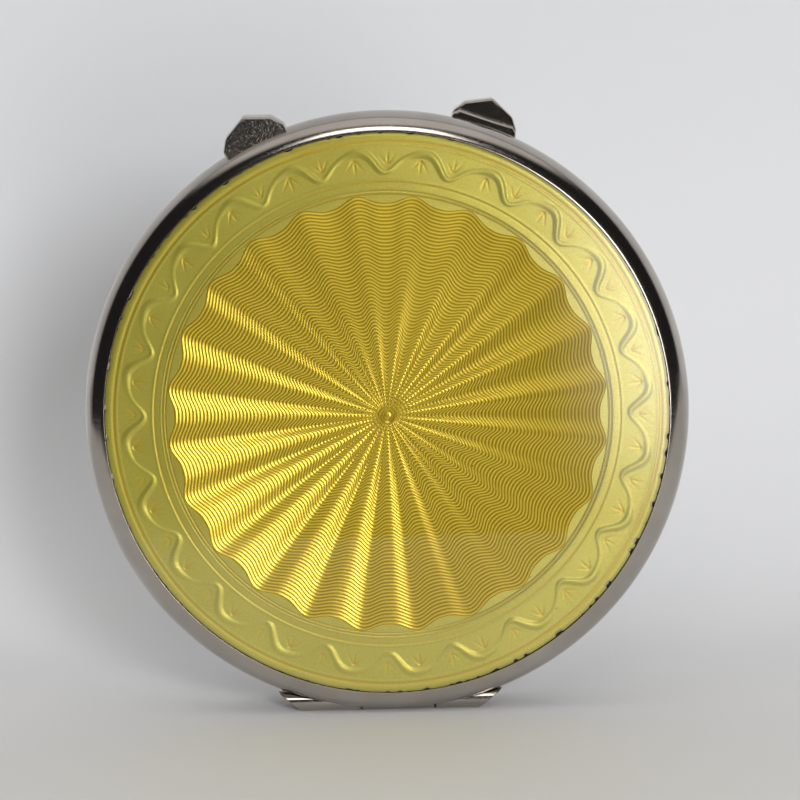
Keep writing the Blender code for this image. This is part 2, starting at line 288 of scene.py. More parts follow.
CHIPPED_ANGLE = math.radians(130)
CHIP_WAVES = (31, 47, 73, 97, 131, 173)
CHIP_START = 0.988
CHIP_WIDTH = 0.018
CHIP_DEPTH = 0.011
RIDGES = (
    # radius, half width, height, as shares of the enamel's radius
    (0.7890, 0.0028, -0.0011),
    (0.7945, 0.0028, 0.0009),
    (0.8005, 0.0030, -0.0012),
    (0.8065, 0.0030, 0.0010),
    (0.8300, 0.0040, -0.0006),
    (0.8380, 0.0050, 0.0009),
    (0.9670, 0.0060, 0.0008),
    (0.9750, 0.0060, -0.0012),
)
# Each prong of a sprig: its root and its tip as (angle in repeats, radius), half width and depth.
SPRIGS = (
    (0.00, 0.912, 0.00, 0.868, 0.0040, 0.0016),
    (0.02, 0.910, 0.13, 0.873, 0.0034, 0.0014),
    (-0.02, 0.910, -0.13, 0.880, 0.0034, 0.0014),
    (0.50, 0.898, 0.50, 0.942, 0.0036, 0.0014),
    (0.48, 0.898, 0.37, 0.930, 0.0032, 0.0013),
    (0.52, 0.898, 0.63, 0.936, 0.0032, 0.0013),
)


def border_mesh(name):
    angles = math.tau * np.arange(BORDER_COLUMNS) / BORDER_COLUMNS
    rho = np.array(BORDER_RINGS)[:, None] * np.ones(BORDER_COLUMNS)
    theta = np.ones(len(BORDER_RINGS))[:, None] * angles
    relief = np.zeros_like(rho)
    for centre, half_width, height in RIDGES:
        relief += height * bump(rho, centre, half_width)
    phase = REPEATS * (theta - VINE_ANGLE)
    lean = phase - VINE_LEAN * np.sin(phase + VINE_LEAN_PHASE)
    middle = VINE_CENTRE + VINE_SWING * np.cos(lean)
    slope = -VINE_SWING * REPEATS * np.sin(lean) * (1 - VINE_LEAN * np.cos(phase + VINE_LEAN_PHASE))
    away = (rho - middle) / np.sqrt(1 + (slope / rho) ** 2)
    width = VINE_WIDTH + VINE_SWELL * np.cos(phase - 0.8)
    # One limb of each wave is cut stronger than the other, and hand work varies round the lid.
    limb = 0.70 + 0.44 * np.sin(phase) + 0.10 * np.sin(3 * theta + 1.0)
    relief += VINE_HEIGHT * limb * (1 - np.clip(np.abs(away) / width, 0, 1) ** 2) ** 1.5
    turn = (phase / math.tau + 0.25) % 1.0 - 0.25
    arc_length = math.tau / REPEATS
    for turn0, rho0, turn1, rho1, half_width, depth in SPRIGS:
        u = (turn - turn0) * arc_length * rho
        v = rho - rho0
        du = (turn1 - turn0) * arc_length * rho0
        dv = rho1 - rho0
        along = np.clip((u * du + v * dv) / (du * du + dv * dv), 0, 1)
        gap = np.hypot(u - along * du, v - along * dv)
        taper = half_width * (1 - 0.7 * along)
        relief -= depth * (1 - 0.5 * along) * np.clip(1 - gap / taper, 0, 1)
    depth = np.clip(-relief / SPRIG_FULL_DEPTH, 0, 1)
    relief -= EDGE_DROP * np.clip((rho - EDGE_START) / EDGE_WIDTH, 0, 1) ** 2
    # Old chips along the outer edge, thickest in two stretches.
    towards = np.cos(angles - CHIPPED_ANGLE)
    worn = np.clip(towards, 0, 1) ** 2 + 0.5 * np.clip(-towards, 0, 1)
    waves = sum(np.sin(k * angles + k * k) for k in CHIP_WAVES) / len(CHIP_WAVES)
    chip = np.clip(3.0 * (waves - 0.12), 0, 1) * worn
    rho -= CHIP_DEPTH * chip * np.clip((rho - CHIP_START) / CHIP_WIDTH, 0, None)
    radii = rho * ENAMEL_RADIUS
    surface = dome_height(radii) + relief * ENAMEL_RADIUS - BORDER_SINK
    surface[0] = dome_height(radii[0]) - FIELD_SINK
    return polar_body(name, radii, surface, angles, depth)


# ---------------------------------------------------------------- materials


class Nodes:
    """Short names for building a node tree."""

    def __init__(self, name):
        self.material = bpy.data.materials.new(name)
        self.material.use_nodes = True
        self.tree = self.material.node_tree
        self.shader = self.tree.nodes["Principled BSDF"]
        place = self.add("ShaderNodeTexCoord")
        self.scaled = self.add("ShaderNodeVectorMath", operation="SCALE")
        self.scaled.inputs["Scale"].default_value = 1 / MM
        self.join(place.outputs["Object"], self.scaled.inputs[0])
        self.place = self.scaled.outputs[0]

    def add(self, kind, **settings):
        node = self.tree.nodes.new(kind)
        for key, value in settings.items():
            setattr(node, key, value)
        return node

    def join(self, out, into):
        self.tree.links.new(out, into)

    def noise(self, per_mm, detail=4.0, rough=0.55, stretch=None):
        node = self.add("ShaderNodeTexNoise")
        node.inputs["Scale"].default_value = per_mm
        node.inputs["Detail"].default_value = detail
        node.inputs["Roughness"].default_value = rough
        source = self.place
        if stretch:
            mapped = self.add("ShaderNodeMapping")
            mapped.inputs["Scale"].default_value = stretch[0]
            mapped.inputs["Rotation"].default_value = stretch[1]
            self.join(source, mapped.inputs["Vector"])
            source = mapped.outputs["Vector"]
        self.join(source, node.inputs["Vector"])
        return node.outputs["Fac"]

    def spread(self, value, low, high, to_low=0.0, to_high=1.0):
        node = self.add("ShaderNodeMapRange")
        node.inputs["From Min"].default_value = low
        node.inputs["From Max"].default_value = high
        node.inputs["To Min"].default_value = to_low
        node.inputs["To Max"].default_value = to_high
        self.join(value, node.inputs["Value"])
        return node.outputs["Result"]

    def math(self, one, other, operation="ADD"):
        node = self.add("ShaderNodeMath", operation=operation)
        self.join(one, node.inputs[0])
        if hasattr(other, "is_linked"):
            self.join(other, node.inputs[1])
        else:
            node.inputs[1].default_value = other
        return node.outputs[0]

    def blend(self, fac, one, other):
        node = self.add("ShaderNodeMix", data_type="RGBA")
        self.join(fac, node.inputs["Factor"])
        for socket, colour in ((node.inputs[6], one), (node.inputs[7], other)):
            if isinstance(colour, tuple):
                socket.default_value = (*colour, 1.0)
            else:
                self.join(colour, socket)
        return node.outputs[2]

    def bump(self, height, strength, distance):
        node = self.add("ShaderNodeBump")
        node.inputs["Strength"].default_value = strength
        node.inputs["Distance"].default_value = distance
        self.join(height, node.inputs["Height"])
        return node.outputs["Normal"]

    def radius(self):
        """Distance from the box's axis, in millimetres."""
        flat = self.add("ShaderNodeVectorMath", operation="MULTIPLY")
        flat.inputs[1].default_value = (1.0, 1.0, 0.0)
        self.join(self.place, flat.inputs[0])
        length = self.add("ShaderNodeVectorMath", operation="LENGTH")
        self.join(flat.outputs[0], length.inputs[0])
        return length.outputs["Value"]

    def set(self, **values):
        for key, value in values.items():
            socket = self.shader.inputs[key.replace("_", " ")]
            if hasattr(value, "is_linked"):
                self.join(value, socket)
            else:
                socket.default_value = value


def metal(name, light, dark, roughness, scratch):
    """Old polished metal: cloudy tarnish, hair scratches and a satin haze."""
    m = Nodes(name)
    cloud = m.noise(0.22, 3.0, 0.5)
    fine = m.noise(9.0, 3.0, 0.6)
    tarnish = m.spread(m.math(cloud, m.math(fine, 0.3, "MULTIPLY")), 0.35, 0.95)
    hair = m.noise(2.2, 2.0, 0.5, stretch=((1.0, 22.0, 1.0), (0, 0, 0.7)))
    hair2 = m.noise(2.6, 2.0, 0.5, stretch=((20.0, 1.0, 1.0), (0, 0, 0.3)))
    lines = m.math(m.spread(hair, 0.62, 0.70), m.spread(hair2, 0.62, 0.70))
    worn = m.spread(tarnish, 0, 1, roughness * 0.8, roughness * 1.35)
    rough = m.math(worn, m.math(lines, 0.05, "MULTIPLY"))
    normal = m.bump(m.math(lines, m.math(fine, 0.3, "MULTIPLY")), scratch, 0.002 * MM)
    m.set(Base_Color=m.blend(tarnish, light, dark), Metallic=1.0, Roughness=rough, Normal=normal)
    return m.material


def dome_normal(m):
    """The smooth surface of the glass over the relief, as a direction in the world."""
    squash = m.add("ShaderNodeVectorMath", operation="MULTIPLY")
    lean = 2 * DOME_RISE / ENAMEL_RADIUS**2 * MM
    squash.inputs[1].default_value = (lean, lean, 0.0)
    m.join(m.place, squash.inputs[0])
    upright = m.add("ShaderNodeVectorMath", operation="ADD")
    upright.inputs[1].default_value = (0.0, 0.0, 1.0)
    m.join(squash.outputs[0], upright.inputs[0])
    world = m.add("ShaderNodeVectorTransform", vector_type="NORMAL")
    world.convert_from, world.convert_to = "OBJECT", "WORLD"
    m.join(upright.outputs[0], world.inputs[0])
    return world.outputs[0]


PIT_COLOUR = (0.10, 0.07, 0.01)


def enamel(name, thin, thick, roughness, metallic, haze, gloss):
    """Clear yellow glass over bright-cut silver: a coloured metal under a smooth coat.

    thin and thick are the colours, each as (clear, cloudy), over the crests and over the cuts: the glass's
    own thin and deep colours, which on the grooved field also hold a painted highlight on the crests and
    painted shade in the cuts.
    """
    m = Nodes(name)
    cloud = m.noise(0.12, 3.0, 0.5)
    speck = m.noise(7.0, 2.0, 0.6)
    tone = m.math(m.spread(cloud, 0.3, 0.7, 0.0, 0.5), m.spread(speck, 0.35, 0.65, 0.0, 0.5))
    # Glass depth picks the colour; on the grooved field this is also painted shade in the cuts and a painted
    # highlight on the crests.
    depth = m.add("ShaderNodeAttribute", attribute_name=DEPTH)
    colour = m.blend(depth.outputs["Fac"], m.blend(tone, *thin), m.blend(tone, *thick))
    pits = m.add("ShaderNodeTexVoronoi")
    pits.inputs["Scale"].default_value = 0.8
    m.join(m.place, pits.inputs["Vector"])
    pit = m.spread(pits.outputs["Distance"], 0.035, 0.055, 1.0, 0.0)
    rare = m.spread(m.noise(0.55, 1.0), 0.60, 0.62)
    colour = m.blend(m.math(pit, rare, "MULTIPLY"), colour, PIT_COLOUR)
    rough = m.spread(speck, 0.3, 0.7, roughness * 0.9, roughness * 1.15)
    m.set(Base_Color=colour, Metallic=metallic, Roughness=rough)
    m.set(Coat_Weight=1.0, Coat_Roughness=haze, Coat_IOR=gloss, Coat_Normal=dome_normal(m))
    return m.material


def card(name):
    """Pressed card, with a fibrous grain."""
    m = Nodes(name)
    fibre = m.noise(6.0, 5.0, 0.65)
    m.set(Base_Color=m.blend(fibre, (0.11, 0.09, 0.075), (0.22, 0.18, 0.15)), Roughness=0.9)
    m.set(Normal=m.bump(fibre, 0.5, 0.03 * MM))
    return m.material


def mirror(name):
    """Old silvered glass, with a little bloom towards its edge."""
    m = Nodes(name)
    near_edge = m.spread(m.radius(), 18.5, 21.8)
    bloom = m.math(near_edge, m.spread(m.noise(0.9, 5.0, 0.65), 0.50, 0.68), "MULTIPLY")
    m.set(Base_Color=m.blend(bloom, (0.86, 0.88, 0.88), (0.42, 0.40, 0.36)), Metallic=1.0)
    m.set(Roughness=m.spread(bloom, 0, 1, 0.02, 0.22))
    return m.material


def paper(name, wall, floor):
    """Matt paper with a clear back, because the floor stands upright beside the box as it lies."""
    m = Nodes(name)
    split = m.add("ShaderNodeSeparateXYZ")
    m.join(m.place, split.inputs[0])
    height = m.math(split.outputs["Z"], m.spread(m.noise(0.03, 4.0, 0.6), 0.3, 0.7, -12.0, 12.0))
    m.set(Base_Color=m.blend(m.spread(height, -40.0, 60.0), wall, floor))
    m.set(Roughness=0.6, Specular_IOR_Level=0.2)
    clear = m.add("ShaderNodeBsdfTransparent")
    pick = m.add("ShaderNodeMixShader")
    side = m.add("ShaderNodeNewGeometry")
    m.join(side.outputs["Backfacing"], pick.inputs[0])
    m.join(m.shader.outputs[0], pick.inputs[1])
    m.join(clear.outputs[0], pick.inputs[2])
    m.join(pick.outputs[0], m.tree.nodes["Material Output"].inputs["Surface"])
    return m.material


SILVER = metal("old_silver", (0.54, 0.505, 0.47), (0.42, 0.385, 0.345), 0.12, 0.25)
POLISHED = metal("polished_silver", (0.56, 0.52, 0.47), (0.38, 0.34, 0.30), 0.07, 0.08)
GILT = metal("gilt_silver", (0.84, 0.62, 0.30), (0.62, 0.42, 0.17), 0.20, 0.20)
STEEL = metal("pin_steel", (0.55, 0.55, 0.56), (0.40, 0.39, 0.38), 0.30, 0.30)
# Crests lighter and valleys darker: thin and deep glass, strengthened into a painted highlight on the crests
# and painted shade in the valleys.
THIN_CREST_AND_HIGHLIGHT = ((0.93, 0.74, 0.075), (0.86, 0.66, 0.055))
DEEP_VALLEY_AND_SHADE = ((0.39, 0.235, 0.006), (0.32, 0.185, 0.005))
PALE = ((0.54, 0.485, 0.08), (0.44, 0.38, 0.05))
GOLD = ((0.58, 0.40, 0.03), (0.58, 0.365, 0.02))
FIELD_ENAMEL = enamel("enamel_over_grooves", THIN_CREST_AND_HIGHLIGHT, DEEP_VALLEY_AND_SHADE, 0.20, metallic=0.53, haze=0.03, gloss=1.5)
BORDER_ENAMEL = enamel("enamel_over_border", PALE, GOLD, 0.33, metallic=0.56, haze=0.12, gloss=1.75)
CARD = card("pressed_card")
MIRROR = mirror("silvered_glass")


def make_enamel():
    sunburst = link("enamel_sunburst", sunburst_mesh("enamel_sunburst"), FIELD_ENAMEL)
    # The faces between the first rows are the plain lunettes outside the scallops.
    sunburst.data.materials.append(BORDER_ENAMEL)
    is_lunette = np.arange(len(sunburst.data.polygons)) < (len(LUNETTE_ROWS) - 1) * COLUMNS
    sunburst.data.polygons.foreach_set("material_index", is_lunette.astype(np.int32))
    smooth(sunburst.data, GROOVE_SHARP)
    finish_piece(sunburst, "lid", "yellow_enamel", "lid_enamel")
    border = link("enamel_border", border_mesh("enamel_border"), BORDER_ENAMEL)
    smooth(border.data, BORDER_SHARP)
    finish_piece(border, "lid", "yellow_enamel", "lid_enamel")


def dress_cad_nodes():
    """The CAD nodes that no piece replaces keep their shape, and take the material of their slot."""
    plain = {"silver": SILVER, "gilt": GILT, "steel": STEEL, "mirror": MIRROR, "card": CARD}
    for subpart in frame["record"]["subparts"]:
        for slot in frame["nodes"][subpart["node"]].material_slots:
            slot.material = plain.get(subpart["material_slot"], SILVER)


# ---------------------------------------------------------------- walls and rings

WALL_RADIUS = 24.4 * MM
INNER_RADIUS = 23.4 * MM
BEZEL_RADIUS = 23.25 * MM
BEZEL_WALL = 0.4 * MM
BACK_RADIUS = 21.8 * MM
FLOOR_RADIUS = 21.0 * MM
SHOULDER_Z = 3.0 * MM
FLOOR_Z = 0.85 * MM
BELLY_Z = 7.0 * MM
BELLY_INSET = 0.30 * MM  # makes the rim slope down already where it meets the enamel
LEDGE_RADIUS = 22.4 * MM
LEDGE_LOW, LEDGE_HIGH = 8.0 * MM, 8.45 * MM
GLASS_EDGE = 0.35 * MM
GLASS_GAP = 0.08 * MM
LIP_THICKNESS = 0.17 * MM
EDGE = 0.08 * MM  # rounding of a worn corner

RIM_EDGE = 0.03 * MM
SEAT_GAP = 0.2 * MM  # between the enamel and the rim
TURNED_LINES = (20.6 * MM, 19.9 * MM)  # they frame the plain back
LINE_HALF, LINE_DEPTH = 0.12 * MM, 0.07 * MM
LINING_STEPS = (21.9 * MM, 20.9 * MM)
STEP_HALF, STEP_HEIGHT = 0.16 * MM, 0.06 * MM

HINGE_Y = 24.3 * MM
BARREL = 0.85 * MM
CHANNEL = 1.0 * MM
CHANNEL_HALF = 9.8 * MM
PIN_HOLE = 0.42 * MM
BORE_END = 7.6 * MM
HINGE_HALF = 9.2 * MM
HINGE_FLAT = 25.08 * MM
FLAT_HALF = 7.2 * MM
FLARE = (HINGE_HALF - FLAT_HALF) / (HINGE_FLAT - (HINGE_Y - BARREL))
RIM_FLAT = 24.72 * MM
FLAT_CUT_DEPTH, FLAT_CUT_HEIGHT, FLAT_CUT_Z = 1 * MM, 4 * MM, 8 * MM


def axis_height(node):
    low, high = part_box(node)
    return (low.z + high.z) / 2


REAR_AXIS = axis_height("hinge_pin_rear")
FRONT_AXIS = axis_height("hinge_pin_front")


def arc(centre, radii, start, end, steps):
    """Points of an ellipse's arc, both ends included."""
    made = []
    for i in range(steps + 1):
        a = start + (end - start) * i / steps
        made.append((centre[0] + radii[0] * math.cos(a), centre[1] + radii[1] * math.sin(a)))
    return made


def turned(name, profile, material, is_ring=True, cutters=(), edge=EDGE):
    """A piece turned from its profile, a closed one for a ring, with its corners rounded and channels cut."""
    obj = link(name, lathe(name, rounded(profile, edge, is_ring), is_ring), material)
    return cut(obj, cutters)


def cut(obj, cutters=()):
    """Cuts the shapes away for good, then evens the shading out from the small faces to the large ones."""
    for cutter in cutters:
        modifier = obj.modifiers.new("cut", "BOOLEAN")
        modifier.solver = "EXACT"
        modifier.object = cutter
    if cutters:
        bpy.context.view_layer.update()
        material = obj.data.materials[0]
        mesh = bpy.data.meshes.new_from_object(obj.evaluated_get(bpy.context.evaluated_depsgraph_get()))
        obj.modifiers.clear()
        obj.data = mesh
        mesh.name = obj.name
        mesh.materials.clear()
        mesh.materials.append(material)
    smooth(obj.data)
    even = obj.modifiers.new("even_shading", "WEIGHTED_NORMAL")
    even.keep_sharp = True
    return obj


def channel_cutter(name, height):
    shape = bmesh.new()
    bmesh.ops.create_cone(
        shape, cap_ends=True, segments=48, radius1=CHANNEL, radius2=CHANNEL, depth=2 * CHANNEL_HALF
    )
    place = Matrix.Translation((0, HINGE_Y, height)) @ Matrix.Rotation(math.pi / 2, 4, "Y")
    bmesh.ops.transform(shape, matrix=place, verts=shape.verts)
    return cutter(name, shape)


def flat_cutter(name):
    shape = bmesh.new()
    bmesh.ops.create_cube(shape, size=1.0)
    size = Matrix.Diagonal((2 * HINGE_HALF, FLAT_CUT_DEPTH, FLAT_CUT_HEIGHT, 1))
    place = Matrix.Translation((0, RIM_FLAT + FLAT_CUT_DEPTH / 2, FLAT_CUT_Z)) @ size
    bmesh.ops.transform(shape, matrix=place, verts=shape.verts)
    return cutter(name, shape)


def cutter(name, shape):
    mesh = bpy.data.meshes.new(name)
    shape.to_mesh(mesh)
    shape.free()
    obj = bpy.data.objects.new(name, mesh)
    bpy.context.scene.collection.objects.link(obj)
    return obj


def make_rim(cutters):
    seat = ENAMEL_RADIUS + SEAT_GAP
    centre = seat - BELLY_INSET
    width = RIM_HIGH.x - centre
    start = math.acos(BELLY_INSET / width)
    height = (RIM_HIGH.z - BELLY_Z) / math.sin(start)
    belly = arc((centre, BELLY_Z), (width, height), start, 0, 28)
    under = [(RIM_HIGH.x, RIM_LOW.z), (INNER_RADIUS, RIM_LOW.z), (INNER_RADIUS, LEDGE_LOW)]
    ledge = [(LEDGE_RADIUS, LEDGE_LOW), (LEDGE_RADIUS, LEDGE_HIGH), (seat, LEDGE_HIGH)]
    rim = turned("rim", belly + under + ledge, SILVER, cutters=cutters, edge=RIM_EDGE)
    finish_piece(rim, "lid", "silver", "lid_rim")


def make_tray(cutters):
    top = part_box("base_shell")[1].z
    outside = arc((BACK_RADIUS, SHOULDER_Z), (WALL_RADIUS - BACK_RADIUS, SHOULDER_Z), 0, -math.pi / 2, 20)
    inside = arc(
        (FLOOR_RADIUS, SHOULDER_Z), (INNER_RADIUS - FLOOR_RADIUS, SHOULDER_Z - FLOOR_Z), -math.pi / 2, 0, 16
    )
    lines = []
    for radius in TURNED_LINES:
        lines += [(radius + LINE_HALF, 0.0), (radius, LINE_DEPTH), (radius - LINE_HALF, 0.0)]
    profile = [(0, FLOOR_Z)] + inside + [(INNER_RADIUS, top), (WALL_RADIUS, top)] + outside + lines + [(0, 0)]
    tray = turned("tray", profile, SILVER, is_ring=False, cutters=cutters)
    finish_piece(tray, "base", "silver", "base_shell")


def make_bezel(name, node, body):
    """A thin upstanding ring that the next piece snaps over, with a low bead under its edge."""
    low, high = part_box(node)
    inner = BEZEL_RADIUS - BEZEL_WALL
    lead = 0.12 * MM
    outer = [
        (BEZEL_RADIUS - lead, high.z), (BEZEL_RADIUS - 0.2 * lead, high.z - 1.5 * lead),
        (BEZEL_RADIUS, high.z - 2.2 * lead), (BEZEL_RADIUS - 0.3 * lead, high.z - 3.2 * lead),
        (BEZEL_RADIUS - 0.3 * lead, low.z),
    ]
    ring = turned(name, outer + [(inner, low.z), (inner, high.z)], GILT, edge=0.04 * MM)
    finish_piece(ring, body, "gilt", node)


def make_leaf(cutters):
    low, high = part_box("leaf_ring")
    profile = [(WALL_RADIUS, high.z), (WALL_RADIUS, low.z), (INNER_RADIUS, low.z), (INNER_RADIUS, high.z)]
    ring = turned("leaf_wall", profile, SILVER, cutters=cutters, edge=0.12 * MM)
    finish_piece(ring, "leaf", "silver", "leaf_ring")

    low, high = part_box("mirror_glass")
    radius = high.x
    glass = [
        (0, high.z), (radius - 3 * GLASS_EDGE, high.z), (radius, high.z - GLASS_EDGE),
        (radius, low.z), (0, low.z),
    ]
    mirror_glass = turned("looking_glass", glass, MIRROR, is_ring=False, edge=0.03 * MM)
    finish_piece(mirror_glass, "leaf", "mirror", "mirror_glass")

    low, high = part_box("mirror_ring")
    inside = radius + GLASS_GAP
    lip = high.z - LIP_THICKNESS
    frame_profile = [
        (high.x, high.z - 0.1 * MM), (high.x, low.z), (inside, low.z), (inside, lip),
        (radius - 0.6 * MM, lip), (radius - 0.35 * MM, high.z - 0.03 * MM), (high.x - 0.25 * MM, high.z),
    ]
    lip_ring = turned("mirror_frame", frame_profile, GILT, edge=0.05 * MM)
    finish_piece(lip_ring, "leaf", "gilt", "mirror_ring")


def make_lining():
    """The gilt disc inside the lid, spun with a few low steps towards its edge."""
    low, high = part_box("lid_lining")
    steps = []
    for radius in LINING_STEPS:
        steps += [(radius + STEP_HALF, low.z), (radius, low.z + STEP_HEIGHT), (radius - STEP_HALF, low.z)]
    profile = [(0, high.z), (high.x, high.z), (high.x, low.z)] + steps + [(0, low.z)]
    lining = turned("lid_inside", profile, GILT, is_ring=False, edge=0.05 * MM)
    finish_piece(lining, "lid", "gilt", "lid_lining")


# ---------------------------------------------------------------- hinges

BARREL_FLATS = 48
BARREL_EDGE = 0.13 * MM
END_SHIFT = {1: 0.45 * MM, -1: 0.0}  # one end of the hinge stands out further


def barrel_mesh(name, stations, height, is_through):
    """A tube along X from stations of (x, radius, side).

    Where side is 1 or -1, x is how far the station stands in from the slanted end on that side.
    """
    shape = bmesh.new()
    rings = []
    for x, radius, side in stations:
        if radius < ON_AXIS:
            rings.append([shape.verts.new((x, HINGE_Y, height))])
            continue
        ring = []
        for i in range(BARREL_FLATS):
            a = math.tau * (i + 0.5) / BARREL_FLATS
            y = HINGE_Y + radius * math.cos(a)
            if radius > PIN_HOLE:
                y = min(y, HINGE_FLAT)
            place = x
            if side:
                place = side * (FLAT_HALF + (HINGE_FLAT - y) * FLARE - x) + END_SHIFT[side]
            ring.append(shape.verts.new((place, y, height + radius * math.sin(a))))
        rings.append(ring)
    pairs = list(zip(rings, rings[1:]))
    if is_through:
        pairs.append((rings[-1], rings[0]))
    for one, other in pairs:
        for i in range(BARREL_FLATS):
            j = (i + 1) % BARREL_FLATS
            if len(one) == 1:
                shape.faces.new((one[0], other[i], other[j]))
            elif len(other) == 1:
                shape.faces.new((one[i], other[0], one[j]))
            else:
                shape.faces.new((one[i], other[i], other[j], one[j]))
    bmesh.ops.recalc_face_normals(shape, faces=shape.faces)
    mesh = bpy.data.meshes.new(name)
    shape.to_mesh(mesh)
    shape.free()
    return mesh


def make_barrel(name, node, body, axis, side=0):
    """A hinge tube. Side is 1 or -1 for an outer one, with a slanted, closed end on that side."""
    low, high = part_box(node)
    edge = BARREL_EDGE
    if side:
        inner = low.x if side > 0 else high.x
        step = side * edge
        stations = [
            (side * BORE_END, 0.0, 0), (side * BORE_END, PIN_HOLE, 0), (inner, PIN_HOLE, 0),
            (inner, BARREL - edge, 0), (inner + 0.3 * step, BARREL - 0.3 * edge, 0),
            (inner + step, BARREL, 0), (edge, BARREL, side), (0.3 * edge, BARREL - 0.3 * edge, side),
            (0.0, BARREL - edge, side),
            (side * 0.5 * (FLAT_HALF + HINGE_HALF) + END_SHIFT[side], 0.0, 0),
        ]
    else:
        stations = [
            (low.x, PIN_HOLE, 0), (low.x, BARREL - edge, 0), (low.x + 0.3 * edge, BARREL - 0.3 * edge, 0),
            (low.x + edge, BARREL, 0), (high.x - edge, BARREL, 0),
            (high.x - 0.3 * edge, BARREL - 0.3 * edge, 0), (high.x, BARREL - edge, 0), (high.x, PIN_HOLE, 0),
        ]
    barrel = cut(link(name, barrel_mesh(name, stations, axis, side == 0), SILVER))
    finish_piece(barrel, body, "silver", node)


def make_hinges():
    for owner, axis in (("base", REAR_AXIS), ("lid", FRONT_AXIS)):
        make_barrel(owner + "_barrel_left", owner + "_knuckle_left", owner, axis, -1)
        make_barrel(owner + "_barrel_right", owner + "_knuckle_right", owner, axis, 1)
    make_barrel("leaf_barrel_front", "leaf_knuckle_front", "leaf", FRONT_AXIS)
    make_barrel("leaf_barrel_rear", "leaf_knuckle_rear", "leaf", REAR_AXIS)


# ---------------------------------------------------------------- thumb pieces

THUMB_HALF = 2.75 * MM
SHOULDER_HALF = 2.08 * MM
SHOULDER_RISE = 0.97 * MM
POINT_RISE = 1.95 * MM
BAR_HALF = 2.85 * MM
BAR_SLOPE = 0.55 * MM
CHAMFER = 0.17 * MM
ROOT_STEPS = 8
LID_ANGLE = math.radians(24.6)
LID_FOOT = 25.25 * MM
TRAY_ANGLE = math.radians(-19.8)
TRAY_FOOT = 25.3 * MM
BAR_TOP = 25.6 * MM
# How far from the axis each thumb piece begins, just inside the wall it is soldered to.
LID_ROOT, LEAF_ROOT, TRAY_ROOT = 24.3 * MM, 24.1 * MM, 24.46 * MM


def root(radius, half):
    """The curved foot of a thumb piece, along the wall it is soldered to."""
    spans = [half - 2 * half * i / ROOT_STEPS for i in range(ROOT_STEPS + 1)]
    return [(-u, math.sqrt(radius**2 - u**2)) for u in spans]


def pediment(wall, foot):
    """Outline of a tall thumb piece: two shoulders and a low point."""
    side = [(THUMB_HALF, foot), (SHOULDER_HALF, foot + SHOULDER_RISE)]
    return root(wall, THUMB_HALF) + side + [(0, foot + POINT_RISE)] + [(-u, v) for u, v in reversed(side)]


def bar(wall, top):
    """Outline of a low thumb piece with sloping ends."""
    side = [(BAR_HALF - 0.1 * MM, top - 0.45 * MM), (BAR_HALF - BAR_SLOPE, top)]
    return root(wall, BAR_HALF) + side + [(-u, v) for u, v in reversed(side)]


def make_thumb(name, node, body, outline, angle, material):
    """The outline extruded between the node's heights, with a softened chamfer on its shown edges."""
    low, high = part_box(node)
    shape = bmesh.new()
    rings = []
    for z in (low.z, high.z):
        rings.append([shape.verts.new((u, v, z)) for u, v in outline])
    count = len(outline)
    for i in range(count):
        j = (i + 1) % count
        shape.faces.new((rings[0][i], rings[0][j], rings[1][j], rings[1][i]))
    shape.faces.new(rings[0][::-1])
    shape.faces.new(rings[1])
    bmesh.ops.recalc_face_normals(shape, faces=shape.faces)
    shown = []
    for edge in shape.edges:
        ends = [rings[k].index(v) for v in edge.verts for k in (0, 1) if v in rings[k]]
        if min(ends) > ROOT_STEPS or (max(ends) > ROOT_STEPS and min(ends) in (0, ROOT_STEPS)):
            shown.append(edge)
    bmesh.ops.bevel(shape, geom=shown, offset=CHAMFER, segments=3, affect="EDGES", profile=0.35)
    bmesh.ops.transform(shape, matrix=Matrix.Rotation(math.pi + angle, 4, "Z"), verts=shape.verts)
    mesh = bpy.data.meshes.new(name)
    shape.to_mesh(mesh)
    shape.free()
    thumb = cut(link(name, mesh, material))
    finish_piece(thumb, body, "silver", node)


def make_thumbs():
    for name, node, body, outline, angle, material in (
        ("lid_thumb", "lid_thumb_piece", "lid", pediment(LID_ROOT, LID_FOOT), LID_ANGLE, SILVER),
        ("leaf_thumb_ledge", "leaf_ledge_right", "leaf", pediment(LEAF_ROOT, LID_FOOT), LID_ANGLE, POLISHED),
        ("tray_thumb", "base_thumb_piece", "base", pediment(TRAY_ROOT, TRAY_FOOT), TRAY_ANGLE, POLISHED),
        ("leaf_thumb_bar", "leaf_ledge_left", "leaf", bar(LEAF_ROOT, BAR_TOP), TRAY_ANGLE, POLISHED),
    ):
        make_thumb(name, node, body, outline, angle, material)


def make_silver_and_gilt():
    front = channel_cutter("front", FRONT_AXIS)
    rear = channel_cutter("rear", REAR_AXIS)
    flat = flat_cutter("flat")
    make_rim((front, flat))
    make_leaf((front, rear))
    make_tray((rear,))
    for tool in (front, rear, flat):
        bpy.data.objects.remove(tool)
    make_bezel("tray_bezel", "base_bezel", "base")
    make_bezel("leaf_bezel_ring", "leaf_bezel", "leaf")
    make_lining()
    make_hinges()
    make_thumbs()


# ---------------------------------------------------------------- stage, light and camera

FLOOR_Y = 25.1 * MM
FLOOR_FRONT = 160 * MM
FOOT_FRONT = 8.5 * MM
FLOOR_SLOPE = math.tan(math.radians(6.0))  # leaves room for the opened lid in front of the foot
FLOOR_LEFT = 185 * MM
WALL_Z = -62 * MM
SWEEP = 45 * MM
STAGE_HALF = 2500 * MM
WALL_TOP_Y = -3000 * MM
WALL_PAPER = (0.785, 0.795, 0.815)
FLOOR_PAPER = (0.80, 0.79, 0.755)

